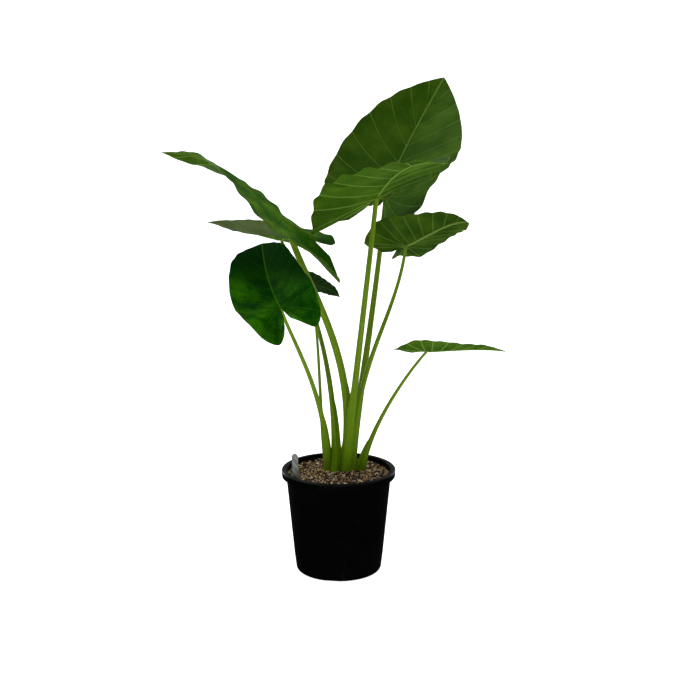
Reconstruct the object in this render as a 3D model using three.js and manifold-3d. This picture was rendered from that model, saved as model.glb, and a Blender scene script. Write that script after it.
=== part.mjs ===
// Potted giant taro: eight waved arrow leaves on sheathed stalks, in a black nursery pot.
// Millimetres, +Z up. The origin is the centre of the pot's underside.

import * as THREE from "three";
import { mergeVertices } from "three/addons/utils/BufferGeometryUtils.js";
import Module from "manifold-3d";

const wasm = await Module();
wasm.setup();

const DEG = Math.PI / 180;
const GAP = 0.3; // air left between pieces that touch on the real plant
const CUT_TOLERANCE = 0.004; // slivers thinner than this are smoothed out of a cut solid

// Pot
const POT_HEIGHT = 239;
const POT_WALL = 2.2;
const POT_FLOOR = 3;
const LIP_RADIUS = 130;
const LIP_DROP = 17;
const NECK_RADIUS = 121; // wall under the lip, carried up to the rim
const FOOT_RADIUS = 98; // wall at the foot
const FOOT_ROUND = 9; // radius of the rounded bottom edge
const POT_SEGMENTS = 48;
const DRAIN_HOLES = 6;
const DRAIN_HOLE_RADIUS = 7;
const DRAIN_CIRCLE_RADIUS = 66;
const NOTCHES = 4;
const NOTCH_WIDTH = 30;
const NOTCH_HEIGHT = 4;
const NOTCH_TURN = -99; // degrees, the first notch, at the front

// Soil
const SOIL_LEVEL = 225; // at the pot's wall
const SOIL_CROWN = 5; // heaped round the stalks
const SOIL_BUMP = 1.44;
const CROWN_X = 6;
const CROWN_Y = 16;
const CROWN_SPREAD = 40; // how far the heap runs out
const SOIL_RINGS = [1, 0.96, 0.86, 0.72, 0.58, 0.44, 0.3, 0.15, 0]; // shares of the bed's radius

// Corm, the short buried stem
const CORM_TOP = 203;
const CORM_HEIGHT = 92;
const CORM_RADIUS = 47;
const CORM_SEGMENTS = 24;
const CORM_RINGS = 5; // every second one is a low scar that an old stalk leaves
const CORM_SCAR = 2;
const CORM_WAIST = 0.35; // share of its height that stays straight

// Plant label
const LABEL_WIDTH = 15;
const LABEL_LENGTH = 118;
const LABEL_POINT = 16; // length of the pointed foot
const LABEL_THICKNESS = 1.4;
const LABEL_SHOWS = 62; // length above the soil
const LABEL_X = -95;
const LABEL_Y = -50;
const LABEL_LEAN = 3; // degrees towards the rim
const LABEL_TURN = -18; // degrees, its face to the front left

// Leaf blade, flat, in blade lengths from the stalk (0) to the tip (1)
const RIB_STARTS = [0.76, 0.6, 0.44, 0.3, 0.18, 0.07, 0, 0, 0, 0]; // along the midrib
const RIB_ENDS = [0.15, 0.31, 0.47, 0.63, 0.78, 0.93, 1.1, 1.38, 1.7, 2.02]; // round the margin, 0 to 3
const RIB_SWEEP = 0.04; // how far a rib bows towards the stalk
const TIP_COLUMN = { start: 0.88, end: 0.07, rib: 0 }; // between the tip and the first rib
const SINUS_ENDS = [2.15, 2.35, 2.7, 3];
const ROWS = [0, 0.07, 0.36, 0.68, 1]; // from the midrib to the margin
const BLADE_THICKNESS = 1.1;
const MIDRIB_DEPTH = 0.012; // in blade lengths, where the midrib is deepest
const MIDRIB_TAPER = 0.85; // share of that depth lost at the tip
const MIDRIB_FADE = 0.12; // the midrib rises over this length next to the stalk
const RIB_DEPTH = 1.2;
const PLEAT = 1; // how far the blade bulges between ribs
const SPINE_STEPS = 160;
const SPINE_START = -0.6; // behind the lobes' ends

// The eight leaves. "at" is where the blade meets its stalk. Turn, rise and roll place the blade in
// degrees: turn 0 points the tip along +X, rise lifts it. Pairs are [left, right] seen from the stalk.
// "spread" is how far out the lobes end, as a share of the width, and "frill" the waves between ribs.
const LEAVES = [
  {
    name: "a", at: [109, 220, 834], length: 407, turn: 74, rise: 32, roll: -4,
    width: [0.37, 0.44], lobe: [0.36, 0.42], spread: [0.35, 0.48], shoulder: 0.53, widest: 0.1,
    bend: -20, tipBend: -2, lobeBend: [-80, -2], fold: [15, 15], curl: [21, 20], sway: -24, twist: 25,
    wave: [6, 6], waves: 3, phase: [-60, -33], waveStart: 0.5, frill: 3, tipRound: 0.35,
  },
  {
    name: "b", at: [82, -60, 862], length: 347, turn: -71, rise: 34, roll: 20,
    width: [0.41, 0.43], lobe: [0.4, 0.36], spread: [0.53, 0.59], shoulder: 0.46, widest: 0.08,
    bend: 36, tipBend: 0, lobeBend: [-21, -27], fold: [4, 2], curl: [-3, 12], sway: -6, twist: -27,
    wave: [8, 8], waves: 3, phase: [-85, 87], waveStart: 0.5, frill: 4, tipRound: 0,
  },
  {
    name: "c", at: [150, 25, 745], length: 205, turn: -45, rise: 24, roll: -25,
    width: [0.41, 0.43], lobe: [0.4, 0.39], spread: [0.52, 0.47], shoulder: 0.54, widest: 0.1,
    bend: -7, tipBend: 34, lobeBend: [1, 3], fold: [14, 16], curl: [1, 2], sway: -3, twist: -3,
    wave: [7, 7], waves: 3, phase: [148, 38], waveStart: 0.5, frill: 1.5, tipRound: 0.22,
  },
  {
    name: "d", at: [-113, -60, 816], length: 311, turn: 179, rise: 45, roll: 10,
    width: [0.42, 0.43], lobe: [0.52, 0.42], spread: [0.5, 0.44], shoulder: 0.46, widest: 0.1,
    bend: 15, tipBend: 37, lobeBend: [-15, -42], fold: [-26, -17], curl: [26, 49], sway: -10, twist: 9,
    wave: [14, 7], waves: 2.7, phase: [-48, 240], waveStart: 0.25, frill: 2, tipRound: 0,
  },
  {
    name: "e", at: [-133, 155, 741], length: 174, turn: 189, rise: 15, roll: -9,
    width: [0.42, 0.43], lobe: [0.43, 0.42], spread: [0.49, 0.49], shoulder: 0.53, widest: 0.11,
    bend: -1, tipBend: 3, lobeBend: [3, 25], fold: [15, 10], curl: [6, -2], sway: -1, twist: -9,
    wave: [3, 3], waves: 3, phase: [90, 89], waveStart: 0.5, frill: 0.6, tipRound: 0,
  },
  {
    name: "f", at: [-120, -180, 644], length: 240, turn: 108, rise: 15, roll: -21,
    width: [0.41, 0.37], lobe: [0.44, 0.43], spread: [0.5, 0.52], shoulder: 0.56, widest: 0.09,
    bend: -25, tipBend: 13, lobeBend: [25, 33], fold: [18, 24], curl: [11, 14], sway: -16, twist: 6,
    wave: [11, 11], waves: 3, phase: [-81, -47], waveStart: 0.5, frill: 1.5, tipRound: 0.63,
  },
  {
    name: "g", at: [195, -40, 520], length: 178, turn: -15, rise: 6, roll: -8,
    width: [0.38, 0.37], lobe: [0.39, 0.38], spread: [0.53, 0.46], shoulder: 0.53, widest: 0.09,
    bend: 0, tipBend: 11, lobeBend: [-2, -1], fold: [11, 15], curl: [-8, 14], sway: -5, twist: -6,
    wave: [4, 4], waves: 3, phase: [-67, 21], waveStart: 0.5, frill: 0.8, tipRound: 0,
  },
  {
    name: "h", at: [-71, 50, 656], length: 84, turn: -7, rise: -4, roll: 23,
    width: [0.42, 0.42], lobe: [0.44, 0.43], spread: [0.52, 0.48], shoulder: 0.5, widest: 0.1,
    bend: 31, tipBend: 22, lobeBend: [16, 27], fold: [10, 10], curl: [8, -20], sway: -1, twist: -1,
    wave: [4, 4], waves: 3, phase: [19, 151], waveStart: 0.5, frill: 0.6, tipRound: 0,
  },
];

// Their stalks. "foot" is where each stands on the corm, "rise" and "reach" steer its curve.
const STALKS = {
  a: {
    foot: [20, 34], rise: [57, 56, 443], reach: [94, 146, 677],
    thick: 19, thin: 10, wing: 5, flare: 0.9,
  },
  b: {
    foot: [13, 9], rise: [37, 1, 445], reach: [65, -32, 680],
    thick: 18, thin: 10, wing: 6, flare: 0.8,
  },
  c: {
    foot: [31, 16], rise: [26, 17, 480], reach: [128, 21, 567],
    thick: 16, thin: 7, wing: 5, flare: 0.3,
  },
  d: {
    foot: [8, 33], rise: [61, 22, 494], reach: [-73, -23, 651],
    thick: 19, thin: 13, wing: 6, flare: 0.5,
  },
  e: {
    foot: [-9, 5], rise: [1, 23, 413], reach: [-44, 95, 600],
    thick: 17, thin: 6, wing: 8, flare: 0.6,
  },
  f: {
    foot: [-26, 20], rise: [-17, -4, 399], reach: [-93, -100, 538],
    thick: 14, thin: 7, wing: 6, flare: 0.5,
  },
  g: {
    foot: [50, 20], rise: [53, 13, 302], reach: [143, -16, 453],
    thick: 11, thin: 6, wing: 9, flare: 0.9,
  },
  h: {
    foot: [-22, 40], rise: [-50, 41, 298], reach: [-35, 46, 587],
    thick: 10, thin: 5, wing: 3, flare: 0.25,
  },
};
const FLARE_HEIGHT = 70; // "flare" is the extra width at the soil, and fades out over this height
const WING_REACH = 0.3; // share of the stalk that the sheath wings run up
const STALK_STEPS = 13;
const STALK_BELOW = 4.2; // its top end lies this far under the blade's upper face

// Solids and meshes

function welded(geometry) {
  const bare = geometry.clone();
  bare.deleteAttribute("normal");
  bare.deleteAttribute("uv");
  return mergeVertices(bare, 1e-3);
}

function toSolid(geometry) {
  const bare = welded(geometry);
  return new wasm.Manifold(
    new wasm.Mesh({
      numProp: 3,
      vertProperties: Float32Array.from(bare.attributes.position.array),
      triVerts: Uint32Array.from(bare.index.array),
    }),
  );
}

function fromSolid(solid) {
  const mesh = solid.getMesh();
  const geometry = new THREE.BufferGeometry();
  geometry.setAttribute("position", new THREE.BufferAttribute(mesh.vertProperties, 3));
  geometry.setIndex(new THREE.BufferAttribute(mesh.triVerts, 1));
  return geometry;
}

// the biggest single body of a solid that a cut may have left in scraps
function mainBody(solid) {
  const bodies = solid.decompose();
  return bodies.reduce((best, body) => (body.volume() > best.volume() ? body : best));
}

function triangles(points, faces) {
  const geometry = new THREE.BufferGeometry();
  geometry.setAttribute("position", new THREE.Float32BufferAttribute(points.flat(), 3));
  geometry.setIndex(faces.flat());
  return welded(geometry);
}

// Leaf blade

function bezier(p0, p1, p2, p3, t) {
  const s = 1 - t;
  return [0, 1].map(
    (k) => s ** 3 * p0[k] + 3 * s * s * t * p1[k] + 3 * s * t * t * p2[k] + t ** 3 * p3[k],
  );
}

// half the flat outline: 0 at the tip, 1 at the widest place, 2 at the lobe's end, 3 at the stalk
function marginPoint(q, leaf, side) {
  const { shoulder, widest, tipRound } = leaf;
  const [width, lobe, spread] = [leaf.width[side], leaf.lobe[side], leaf.spread[side]];
  const wide = [widest, width];
  const end = [-lobe, spread * width];
  if (q <= 1) {
    const nose = [0.84 + 0.12 * tipRound, (0.21 + 0.5 * tipRound) * width];
    return bezier([1, 0], nose, [shoulder, width], wide, q);
  }
  if (q <= 2) {
    return bezier(wide, [widest - 0.24, width], [-lobe, Math.min(0.95, spread + 0.4) * width], end, q - 1);
  }
  return bezier(end, [-lobe, (spread - 0.3) * width], [-0.6 * lobe, 0.03], [0, 0], q - 2);
}

// columns from the tip to the sinus: "rib" is 1 on a rib and 0 between ribs
function bladeColumns() {
  const columns = [{ start: 1, end: 0, rib: 0 }, TIP_COLUMN];
  RIB_STARTS.forEach((start, k) => {
    columns.push({ start, end: RIB_ENDS[k], rib: 1 });
    if (k + 1 < RIB_STARTS.length) {
      columns.push({
        start: (start + RIB_STARTS[k + 1]) / 2,
        end: (RIB_ENDS[k] + RIB_ENDS[k + 1]) / 2,
        rib: 0,
      });
    }
  });
  SINUS_ENDS.forEach((end) => columns.push({ start: 0, end, rib: 0 }));
  return columns;
}

// the margin's small waves: up between ribs, down on them, and none at the tip or in the sinus
function frillAt({ end, rib }) {
  const fade = Math.min(1, Math.max(0, end - 0.1) / 0.4) * Math.min(1, Math.max(0, 2.6 - end) / 0.5);
  return (rib ? -1 : 1) * fade;
}

// the midrib's bend as a table of place and heading from the lobes' ends to the tip
function spineTable(leaf, side) {
  const table = [];
  const heading = (x) => {
    const front = leaf.bend * x + leaf.tipBend * x ** 3;
    const back = (leaf.lobeBend[side] * x) / leaf.lobe[side];
    return { droop: (x >= 0 ? front : back) * DEG, sway: leaf.sway * x * DEG };
  };
  for (let i = 0; i <= SPINE_STEPS; i += 1) {
    const x = SPINE_START + ((1 - SPINE_START) * i) / SPINE_STEPS;
    const { droop, sway } = heading(x);
    const along = new THREE.Vector3(
      Math.cos(droop) * Math.cos(sway), Math.cos(droop) * Math.sin(sway), -Math.sin(droop),
    );
    const place = new THREE.Vector3();
    if (i > 0) {
      const last = table[i - 1];
      place.copy(last.along).add(along).multiplyScalar(0.5 * (x - last.x)).add(last.place);
    }
    table.push({ x, droop, sway, along, place });
  }
  const zero = table[Math.round((-SPINE_START / (1 - SPINE_START)) * SPINE_STEPS)].place.clone();
  table.forEach((row) => row.place.sub(zero));
  return table;
}

function spineAt(table, x) {
  const clamped = Math.min(Math.max((x - table[0].x) / (table[1].x - table[0].x), 0), table.length - 1.001);
  const i = Math.floor(clamped);
  return { row: table[i], next: table[i + 1], share: clamped - i };
}

// a flat point (x along, y across, both in blade lengths) placed on the bent, folded blade
function bladePoint(leaf, side, table, x, y, q, row, lift) {
  const { row: low, next, share } = spineAt(table, x);
  const droop = low.droop + (next.droop - low.droop) * share;
  const sway = low.sway + (next.sway - low.sway) * share;
  const place = low.place.clone().lerp(next.place, share);
  const along = new THREE.Vector3(
    Math.cos(droop) * Math.cos(sway), Math.cos(droop) * Math.sin(sway), -Math.sin(droop),
  );
  const across = new THREE.Vector3(-Math.sin(sway), Math.cos(sway), 0);
  const up = along.clone().cross(across);
  const twist = leaf.twist * x * DEG;
  const acrossTurned = across.clone().multiplyScalar(Math.cos(twist)).addScaledVector(up, Math.sin(twist));
  const upTurned = up.clone().multiplyScalar(Math.cos(twist)).addScaledVector(across, -Math.sin(twist));

  const slope = (leaf.fold[side] + 0.5 * leaf.curl[side] * (y / leaf.width[side])) * DEG;
  const fade = Math.min(1, q / leaf.waveStart, (3 - q) / 0.4);
  const ripple = Math.sin((2 * Math.PI * leaf.waves * q) / 3 + leaf.phase[side] * DEG);
  const height = y * Math.sin(slope) + (leaf.wave[side] / leaf.length) * row * row * ripple * fade + lift;
  const sign = side === 0 ? 1 : -1;
  return place.addScaledVector(acrossTurned, sign * y * Math.cos(slope)).addScaledVector(upTurned, height);
}

// the blade's own axes in the plant: along the midrib, to the left, and up out of the face
function bladeAxes(leaf) {
  const [turn, rise, roll] = [leaf.turn * DEG, leaf.rise * DEG, leaf.roll * DEG];
  const along = new THREE.Vector3(
    Math.cos(rise) * Math.cos(turn), Math.cos(rise) * Math.sin(turn), Math.sin(rise),
  );
  const left = new THREE.Vector3(-Math.sin(turn), Math.cos(turn), 0);
  const up = along.clone().cross(left);
  return {
    along,
    left: left.clone().multiplyScalar(Math.cos(roll)).addScaledVector(up, Math.sin(roll)),
    up: up.clone().multiplyScalar(Math.cos(roll)).addScaledVector(left, -Math.sin(roll)),
  };
}

// one side's upper face as columns of points, with the depth of the blade under each
function bladeSide(leaf, side) {
  const table = spineTable(leaf, side);
  const axes = bladeAxes(leaf);
  const foot = new THREE.Vector3(...leaf.at);
  return bladeColumns().map((column) => {
    const { start, end, rib } = column;
    const edge = marginPoint(end, leaf, side);
    const reach = Math.hypot(edge[0] - start, edge[1]);
    const middle = [(start + edge[0]) / 2 - (end < 2 ? RIB_SWEEP * reach : 0), edge[1] / 2];
    return ROWS.map((row) => {
      const free = 1 - row;
      const x = free * free * start + 2 * row * free * middle[0] + row * row * edge[0];
      const y = 2 * row * free * middle[1] + row * row * edge[1];
      const swell = end > 0.1 && end < 2.2 ? Math.sin(Math.PI * row) * Math.min(1, 4 * reach) : 0;
      const lift = (rib ? -PLEAT : PLEAT) * swell + leaf.frill * frillAt(column) * row ** 3;
      const local = bladePoint(leaf, side, table, x, y, end, row, lift / leaf.length);
      const taper = (1 - MIDRIB_TAPER * start) * Math.min(1, start / MIDRIB_FADE);
      const midrib = MIDRIB_DEPTH * leaf.length * taper;
      const depth = BLADE_THICKNESS + (row === 0 ? midrib : rib * RIB_DEPTH * free * Math.min(1, 3 * row));
      const point = foot.clone()
        .addScaledVector(axes.along, leaf.length * local.x)
        .addScaledVector(axes.left, leaf.length * local.y)
        .addScaledVector(axes.up, leaf.length * local.z);
      return { point, depth };
    });
  });
}

// a blade as one closed sheet; grow swells it on every side, for cutting clear round it
function bladeGeometry(leaf, grow = 0) {
  const last = ROWS.length - 1;
  const sides = [bladeSide(leaf, 0), bladeSide(leaf, 1)];
  const points = [];
  const depths = [];
  const index = sides.map((columns) => columns.map((column) => column.map(({ point, depth }) => {
    const known = points.findIndex((other) => other.distanceTo(point) < 2e-3);
    if (known >= 0) return known;
    depths.push(depth);
    return points.push(point) - 1;
  })));

  const upper = [];
  index.forEach((columns, side) => {
    for (let i = 0; i + 1 < columns.length; i += 1) {
      for (let j = 0; j < last; j += 1) {
        const [a, b, c, d] = [columns[i][j], columns[i][j + 1], columns[i + 1][j], columns[i + 1][j + 1]];
        upper.push(...(side === 0 ? [[a, b, c], [c, b, d]] : [[a, c, b], [c, d, b]]));
      }
    }
  });
  const whole = upper.filter(([a, b, c]) => a !== b && b !== c && c !== a);

  const normals = points.map(() => new THREE.Vector3());
  whole.forEach(([a, b, c]) => {
    const face = points[b].clone().sub(points[a]).cross(points[c].clone().sub(points[a]));
    [a, b, c].forEach((k) => normals[k].add(face));
  });
  normals.forEach((normal) => normal.normalize());

  const outward = points.map(() => new THREE.Vector3());
  index.forEach((columns) => columns.forEach((column) => {
    const edge = points[column[last]].clone().sub(points[column[last - 1]]);
    outward[column[last]].copy(edge.normalize()).multiplyScalar(grow);
  }));
  const count = points.length;
  const top = points.map((point, k) => point.clone().addScaledVector(normals[k], grow).add(outward[k]));
  const bottom = points.map(
    (point, k) => point.clone().addScaledVector(normals[k], -depths[k] - grow).add(outward[k]),
  );

  const faces = [...whole, ...whole.map(([a, b, c]) => [a + count, c + count, b + count])];
  index.forEach((columns, side) => {
    for (let i = 0; i + 1 < columns.length; i += 1) {
      const [p, q] = [columns[i][last], columns[i + 1][last]];
      const rim = [[q, p, p + count], [q, p + count, q + count]];
      faces.push(...(side === 0 ? rim : rim.map(([a, b, c]) => [a, c, b])));
    }
  });
  return triangles([...top, ...bottom].map((point) => point.toArray()), faces);
}

// Stalk

// the stalk's cross-section: u points away from the plant's middle, the groove and wings face it
function stalkSection(radius, wing, grow = 0) {
  const spots = [];
  for (let turn = -120; turn <= 120; turn += 30) {
    spots.push([(radius + grow) * Math.cos(turn * DEG), (radius + grow) * Math.sin(turn * DEG)]);
  }
  const wingTip = (side, inset, spread) => [
    radius * Math.cos(140 * DEG) * inset + wing * Math.cos(155 * DEG) - grow,
    side * (radius * Math.sin(140 * DEG) * inset + wing * Math.sin(155 * DEG) + spread),
  ];
  const groove = radius * (wing > 0 ? -0.45 : -0.72) - grow;
  spots.push(wingTip(1, 1, grow), wingTip(1, 0.8, -grow), [groove, 0]);
  spots.push(wingTip(-1, 0.8, -grow), wingTip(-1, 1, grow));
  return spots;
}

function stalkGeometry(stalk, attach, grow = 0) {
  const foot = new THREE.Vector3(...stalk.foot, CORM_TOP - 5);
  const curve = new THREE.CubicBezierCurve3(
    foot, new THREE.Vector3(...stalk.rise), new THREE.Vector3(...stalk.reach), attach,
  );
  const lean = new THREE.Vector3(attach.x - foot.x, attach.y - foot.y, 0).normalize();
  const rings = [];
  for (let i = 0; i <= STALK_STEPS; i += 1) {
    const t = i / STALK_STEPS;
    const along = curve.getTangent(t);
    const u = lean.clone().addScaledVector(along, -lean.dot(along)).normalize();
    const v = along.clone().cross(u);
    const centre = curve.getPoint(t).addScaledVector(along, i === STALK_STEPS ? grow : 0);
    const swell = stalk.flare * Math.exp((SOIL_LEVEL - centre.z) / FLARE_HEIGHT);
    const radius = 0.5 * (1 + swell) * THREE.MathUtils.lerp(stalk.thick, stalk.thin, t ** 0.7);
    const wing = stalk.wing * Math.sqrt(Math.max(0, 1 - t / WING_REACH));
    rings.push(stalkSection(radius, wing, grow).map(
      ([a, b]) => centre.clone().addScaledVector(u, a).addScaledVector(v, b).toArray(),
    ));
  }
  const sides = rings[0].length;
  const faces = [];
  for (let i = 0; i < STALK_STEPS; i += 1) {
    for (let k = 0; k < sides; k += 1) {
      const next = (k + 1) % sides;
      const [a, b] = [i * sides + k, i * sides + next];
      faces.push([a, b, b + sides], [a, b + sides, a + sides]);
    }
  }
  const outline = stalkSection(1, stalk.wing > 0 ? 1 : 0).map(([a, b]) => new THREE.Vector2(a, b));
  const caps = THREE.ShapeUtils.triangulateShape(outline, []);
  const top = STALK_STEPS * sides;
  caps.forEach(([a, b, c]) => faces.push([a, c, b], [top + a, top + b, top + c]));
  return triangles(rings.flat(), faces);
}

// Pot, soil, corm and label

function outerWall(z) {
  return THREE.MathUtils.lerp(FOOT_RADIUS, NECK_RADIUS, z / POT_HEIGHT);
}

function lathe(profile, segments = POT_SEGMENTS) {
  const line = profile.map(([r, z]) => new THREE.Vector2(r, z));
  return new THREE.LatheGeometry(line, segments).rotateX(Math.PI / 2);
}

function potSolid() {
  const profile = [[0, 0]];
  for (let turn = 0; turn <= 90; turn += 30) {
    const r = outerWall(0) - FOOT_ROUND * (1 - Math.sin(turn * DEG));
    profile.push([r, FOOT_ROUND * (1 - Math.cos(turn * DEG))]);
  }
  const skirt = POT_HEIGHT - LIP_DROP;
  profile.push(
    [outerWall(skirt), skirt], [outerWall(POT_HEIGHT - POT_WALL), POT_HEIGHT - POT_WALL],
    [LIP_RADIUS - 2 * POT_WALL, POT_HEIGHT - POT_WALL - 1], [LIP_RADIUS - POT_WALL - 1, skirt],
    [LIP_RADIUS - 1, skirt], [LIP_RADIUS, POT_HEIGHT - 4], [LIP_RADIUS - 3, POT_HEIGHT],
    [outerWall(POT_HEIGHT) - 1, POT_HEIGHT], [outerWall(POT_HEIGHT) - POT_WALL, POT_HEIGHT - 1.5],
    [outerWall(FOOT_ROUND) - POT_WALL, FOOT_ROUND], [outerWall(0) - FOOT_ROUND, POT_FLOOR], [0, POT_FLOOR],
  );
  let pot = toSolid(lathe(profile));
  const cutters = [];
  for (let k = 0; k < DRAIN_HOLES; k += 1) {
    const turn = ((k + 0.5) * 2 * Math.PI) / DRAIN_HOLES;
    const hole = new THREE.CylinderGeometry(DRAIN_HOLE_RADIUS, DRAIN_HOLE_RADIUS, 4 * POT_FLOOR, 12);
    hole.rotateX(Math.PI / 2);
    hole.translate(DRAIN_CIRCLE_RADIUS * Math.cos(turn), DRAIN_CIRCLE_RADIUS * Math.sin(turn), 0);
    cutters.push(hole);
  }
  for (let k = 0; k < NOTCHES; k += 1) {
    const notch = new THREE.BoxGeometry(FOOT_ROUND * 2, NOTCH_WIDTH, 2 * NOTCH_HEIGHT);
    notch.translate(outerWall(0), 0, 0);
    cutters.push(notch.rotateZ((NOTCH_TURN + (360 * k) / NOTCHES) * DEG));
  }
  cutters.forEach((cutter) => {
    pot = pot.subtract(toSolid(cutter));
  });
  return pot;
}

// gentle lumps, the same every time
function soilHeight(x, y) {
  const lumps = Math.sin(0.11 * x + 1.3) * Math.cos(0.13 * y - 0.4) + 0.6 * Math.sin(0.23 * x - 0.19 * y);
  const crown = Math.exp(-0.5 * (Math.hypot(x - CROWN_X, y - CROWN_Y) / CROWN_SPREAD) ** 2);
  return SOIL_LEVEL + SOIL_CROWN * crown + SOIL_BUMP * lumps;
}

function soilSolid(clearances) {
  const innerWall = (z) => outerWall(z) - POT_WALL - GAP;
  const floor = POT_FLOOR + GAP;
  const foot = outerWall(0) - FOOT_ROUND - GAP;
  const profile = [[0, floor], [foot, floor], [innerWall(FOOT_ROUND), FOOT_ROUND]];
  const bedRadius = innerWall(SOIL_LEVEL - 6);
  SOIL_RINGS.forEach((share) => profile.push([share * bedRadius, SOIL_LEVEL]));
  const bed = lathe(profile);
  const spots = bed.attributes.position;
  for (let k = 0; k < spots.count; k += 1) {
    if (spots.getZ(k) > SOIL_LEVEL - 1) spots.setZ(k, soilHeight(spots.getX(k), spots.getY(k)));
  }
  return clearances.reduce((soil, cutter) => soil.subtract(cutter), toSolid(bed));
}

function cormGeometry(grow = 0) {
  const profile = [[0, CORM_TOP - CORM_HEIGHT - grow]];
  for (let k = 1; k <= CORM_RINGS; k += 1) {
    const turn = (k / CORM_RINGS) * 90 * DEG;
    const scar = k % 2 === 0 ? CORM_SCAR : 0;
    const sink = CORM_WAIST + (1 - CORM_WAIST) * Math.cos(turn);
    profile.push([(CORM_RADIUS - scar) * Math.sin(turn) ** 0.7 + grow, CORM_TOP - CORM_HEIGHT * sink]);
  }
  profile.push([CORM_RADIUS + grow, CORM_TOP + grow], [0, CORM_TOP + grow]);
  return lathe(profile, CORM_SEGMENTS).translate(CROWN_X, CROWN_Y + 4, 0);
}

function labelGeometry(grow = 0) {
  const half = LABEL_WIDTH / 2 + grow;
  const length = LABEL_LENGTH + grow;
  const stake = new THREE.Shape();
  stake.moveTo(0, -grow);
  stake.lineTo(half, LABEL_POINT);
  stake.lineTo(half, length - half);
  stake.absarc(0, length - half, half, 0, Math.PI, false);
  stake.lineTo(-half, LABEL_POINT);
  stake.closePath();
  const depth = LABEL_THICKNESS + 2 * grow;
  const plate = new THREE.ExtrudeGeometry(stake, { depth, bevelEnabled: false, curveSegments: 6 });
  plate.translate(0, LABEL_SHOWS - LABEL_LENGTH, -depth / 2).rotateX(Math.PI / 2);
  plate.rotateY(-LABEL_LEAN * DEG).rotateZ(LABEL_TURN * DEG);
  return plate.translate(LABEL_X, LABEL_Y, SOIL_LEVEL);
}

// The plant, put together

function paint(colour, roughness) {
  return new THREE.MeshStandardMaterial({ color: colour, roughness, metalness: 0 });
}

const plant = new THREE.Group();

function place(name, geometry, material) {
  const mesh = new THREE.Mesh(geometry, material);
  mesh.name = name;
  plant.add(mesh);
}

const stalkPieces = [];
LEAVES.forEach((leaf) => {
  const stalk = STALKS[leaf.name];
  const attach = new THREE.Vector3(...leaf.at).addScaledVector(bladeAxes(leaf).up, -STALK_BELOW);
  const pieces = { name: leaf.name, swollen: toSolid(stalkGeometry(stalk, attach, GAP)) };
  pieces.solid = toSolid(stalkGeometry(stalk, attach)).subtract(toSolid(cormGeometry(GAP)));
  LEAVES.forEach((other) => {
    [GAP, 0].forEach((grow) => {
      pieces.solid = pieces.solid.subtract(toSolid(bladeGeometry(other, grow)));
    });
  });
  stalkPieces.forEach((earlier) => {
    pieces.solid = pieces.solid.subtract(earlier.swollen);
  });
  pieces.solid = mainBody(pieces.solid).simplify(CUT_TOLERANCE);
  stalkPieces.push(pieces);
});

place("pot", fromSolid(potSolid()), paint(0x17191a, 0.5));
place(
  "soil",
  fromSolid(mainBody(soilSolid([
    ...stalkPieces.map((pieces) => pieces.swollen), toSolid(cormGeometry(GAP)), toSolid(labelGeometry(GAP)),
  ]))),
  paint(0x5a4433, 0.95),
);
place("corm", cormGeometry(), paint(0x6b4a2e, 0.9));
place("label", labelGeometry(), paint(0x9aa08f, 0.5));
stalkPieces.forEach((pieces) => {
  place(`stalk_${pieces.name}`, fromSolid(pieces.solid), paint(0x5f8a2a, 0.45));
});
LEAVES.forEach((leaf) => place(`leaf_${leaf.name}`, bladeGeometry(leaf), paint(0x2f5f2a, 0.4)));

export default plant;
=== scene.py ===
"""Potted giant taro: waved arrow leaves on sheathed stalks in a black nursery pot.

Metres, +Z up, the pot's underside on the floor and its axis on the origin.
"""

import math
import random

import bmesh
import bpy
from mathutils import Matrix, Vector, noise


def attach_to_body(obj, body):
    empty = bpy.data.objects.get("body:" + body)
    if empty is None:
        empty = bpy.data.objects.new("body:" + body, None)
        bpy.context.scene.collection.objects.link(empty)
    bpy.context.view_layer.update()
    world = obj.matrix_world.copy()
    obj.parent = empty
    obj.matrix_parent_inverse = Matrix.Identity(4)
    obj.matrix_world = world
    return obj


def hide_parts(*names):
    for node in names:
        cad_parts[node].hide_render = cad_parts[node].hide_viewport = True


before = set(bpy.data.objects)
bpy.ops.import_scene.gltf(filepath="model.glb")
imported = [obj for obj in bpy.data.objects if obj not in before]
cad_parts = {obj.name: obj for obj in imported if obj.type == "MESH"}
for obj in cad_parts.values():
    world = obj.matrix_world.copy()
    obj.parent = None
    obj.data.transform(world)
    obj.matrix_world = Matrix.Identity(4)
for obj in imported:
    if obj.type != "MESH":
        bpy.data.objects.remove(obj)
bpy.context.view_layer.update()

MM = 0.001

# Pot
POT_HEIGHT = 239 * MM
POT_WALL = 2.2 * MM
POT_FLOOR = 3 * MM
LIP_RADIUS = 130 * MM
LIP_DROP = 17 * MM
LIP_ROUND = 4 * MM
MOUTH_ROUND = 1.6 * MM
NECK_RADIUS = 121 * MM
FOOT_RADIUS = 98 * MM
FOOT_ROUND = 9 * MM
DRAIN_HOLES = 6
DRAIN_HOLE_RADIUS = 7 * MM
DRAIN_CIRCLE_RADIUS = 66 * MM
NOTCHES = 4
NOTCH_WIDTH = 30 * MM
NOTCH_HEIGHT = 4 * MM
NOTCH_TURN = -99

# Soil
SOIL_LEVEL = 225 * MM
SOIL_CROWN = 5 * MM
SOIL_BUMP = 1.44 * MM
CROWN_X = 6 * MM
CROWN_Y = 16 * MM
CROWN_SPREAD = 40 * MM
SOIL_GAP = 0.4 * MM  # to the pot's wall
SOIL_GAP_BELOW = 0.3 * MM  # to the pot's floor
SOIL_GRIT = 1.6 * MM
BED_BELOW_CRUMBS = 1.5 * MM

# Corm
CORM_TOP = 203 * MM

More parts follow.
